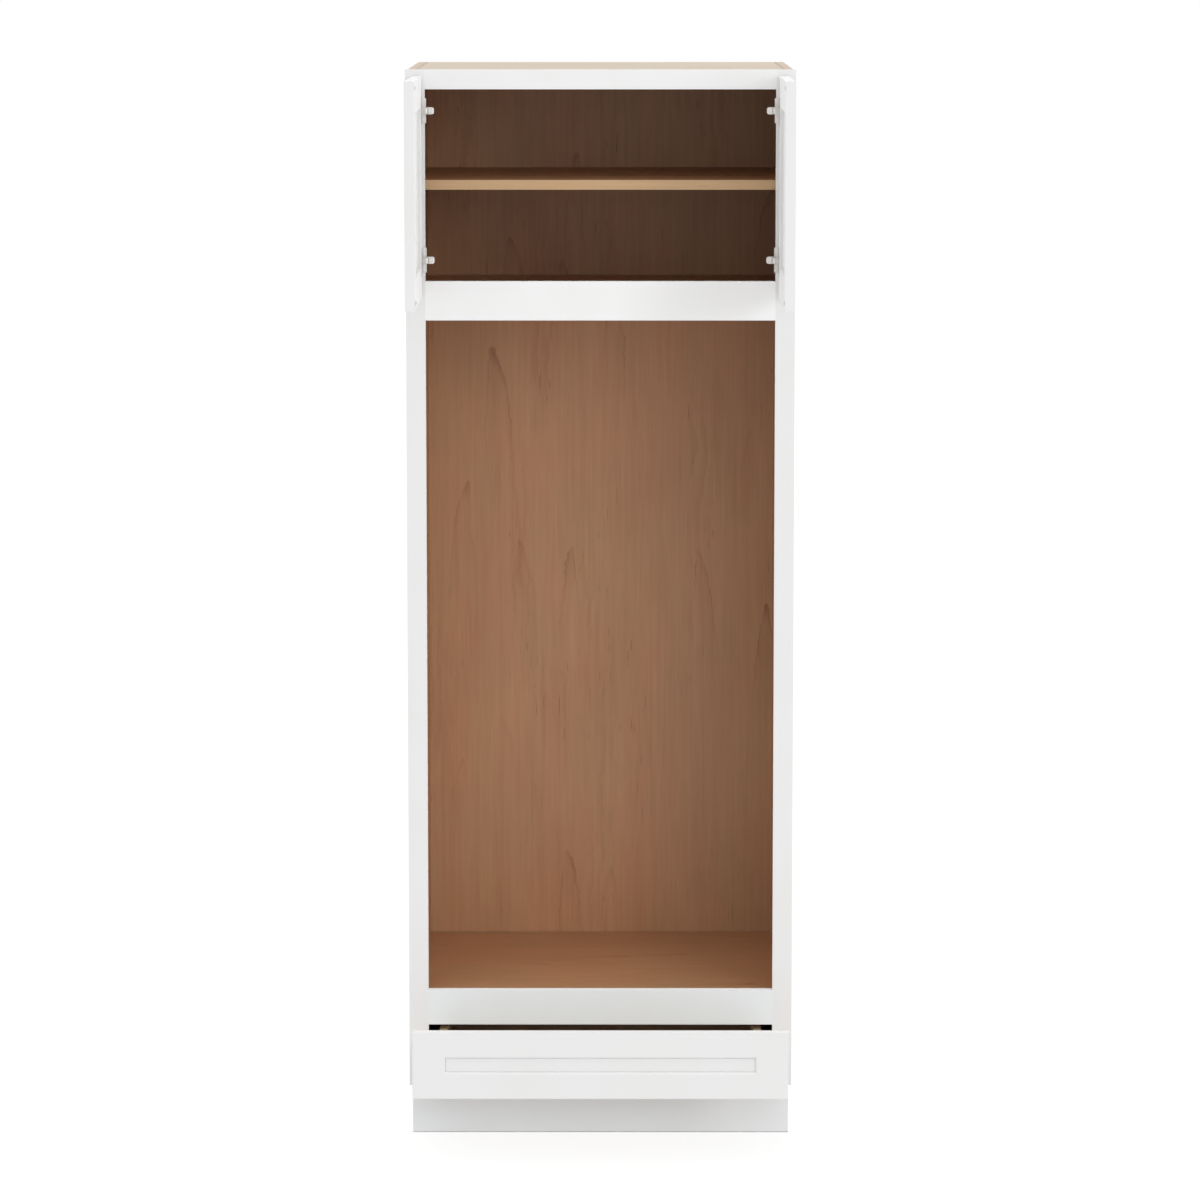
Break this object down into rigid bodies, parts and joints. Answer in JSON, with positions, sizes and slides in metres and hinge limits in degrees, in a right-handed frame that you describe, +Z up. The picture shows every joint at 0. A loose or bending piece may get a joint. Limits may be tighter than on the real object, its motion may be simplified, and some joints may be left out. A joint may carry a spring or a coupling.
{
  "type": "double oven cabinet",
  "caption": "Tall white framed double oven cabinet with an open oven bay, paired shaker doors on cup hinges above it and a dovetailed full extension drawer below.",
  "frame": {"origin": "on the floor, at the middle of the width, in the plane of the wall behind the cabinet", "axes": "+X towards the cabinet's right as seen from the front, +Y towards the wall so that the front looks along -Y, +Z up"},
  "size_m": [0.762, 0.9819, 2.1336],
  "materials": {
    "white_paint": "satin white paint on maple and fibreboard",
    "maple_veneer_plywood": "clear satin maple veneer on plywood",
    "maple_wood": "clear satin solid maple",
    "nickel_steel": "nickel plated steel",
    "zinc_steel": "bright zinc plated steel",
    "grey_plastic": "moulded grey plastic",
    "clear_rubber": "soft translucent rubber"
  },
  "bodies": {
    "carcass": {"side_panel_left": "maple_veneer_plywood", "side_panel_right": "maple_veneer_plywood", "top_panel": "maple_veneer_plywood", "upper_deck": "maple_veneer_plywood", "oven_deck": "maple_veneer_plywood", "oven_deck_cleats": "maple_wood", "bottom_panel": "maple_veneer_plywood", "back_panel": "maple_veneer_plywood", "wall_nailers": "maple_wood", "toe_rail": "maple_wood", "toe_kick_skin": "white_paint", "frame_stile_left": "white_paint", "frame_stile_right": "white_paint", "frame_rail_top": "white_paint", "frame_rail_middle": "white_paint", "frame_rail_lower": "white_paint", "frame_rail_bottom": "white_paint", "adjustable_shelf": "maple_veneer_plywood", "shelf_edge_band": "maple_wood", "shelf_pins": "nickel_steel", "hinge_plates": "nickel_steel", "hinge_arms": "nickel_steel", "hinge_plate_screws": "zinc_steel", "slide_fixed_members": "zinc_steel", "slide_rear_brackets": "grey_plastic"},
    "left_door": {"left_door_hinge_stile": "white_paint", "left_door_free_stile": "white_paint", "left_door_top_rail": "white_paint", "left_door_bottom_rail": "white_paint", "left_door_panel": "white_paint", "left_hinge_cups": "nickel_steel", "left_hinge_pins": "zinc_steel", "left_cup_screws": "zinc_steel", "left_door_bumpers": "clear_rubber"},
    "right_door": {"right_door_hinge_stile": "white_paint", "right_door_free_stile": "white_paint", "right_door_top_rail": "white_paint", "right_door_bottom_rail": "white_paint", "right_door_panel": "white_paint", "right_hinge_cups": "nickel_steel", "right_hinge_pins": "zinc_steel", "right_cup_screws": "zinc_steel", "right_door_bumpers": "clear_rubber"},
    "slide_middle_left": {"slide_middle_member_left": "zinc_steel"},
    "slide_middle_right": {"slide_middle_member_right": "zinc_steel"},
    "drawer": {"drawer_front_stile_left": "white_paint", "drawer_front_stile_right": "white_paint", "drawer_front_rail_top": "white_paint", "drawer_front_rail_bottom": "white_paint", "drawer_front_panel": "white_paint", "drawer_box_side_left": "maple_wood", "drawer_box_side_right": "maple_wood", "drawer_box_front": "maple_wood", "drawer_box_back": "maple_wood", "drawer_box_bottom": "maple_veneer_plywood", "drawer_front_screws": "zinc_steel", "slide_drawer_members": "zinc_steel", "drawer_lock_clips": "grey_plastic", "drawer_bumpers": "clear_rubber"}
  },
  "joints": [
    {"name": "left_door_swing", "type": "hinge", "parent": "carcass", "child": "left_door", "pos_m": [-0.3598, -0.62362, 1.9082], "axis": [0, 0, -1], "range_deg": [-90, 15]},
    {"name": "right_door_swing", "type": "hinge", "parent": "carcass", "child": "right_door", "pos_m": [0.3598, -0.62362, 1.9082], "axis": [0, 0, 1], "range_deg": [-90, 15]},
    {"name": "drawer_slide", "type": "slide", "parent": "carcass", "child": "drawer", "axis": [0, -1, 0], "range_m": [-0.168, 0.365]},
    {"name": "slide_middle_left_run", "type": "slide", "parent": "carcass", "child": "slide_middle_left", "axis": [0, -1, 0], "range_m": [-0.084, 0.183]},
    {"name": "slide_middle_right_run", "type": "slide", "parent": "carcass", "child": "slide_middle_right", "axis": [0, -1, 0], "range_m": [-0.084, 0.183]}
  ],
  "couplings": [
    {"joint": "slide_middle_left_run", "follows": "drawer_slide", "ratio": 0.5},
    {"joint": "slide_middle_right_run", "follows": "drawer_slide", "ratio": 0.5}
  ]
}
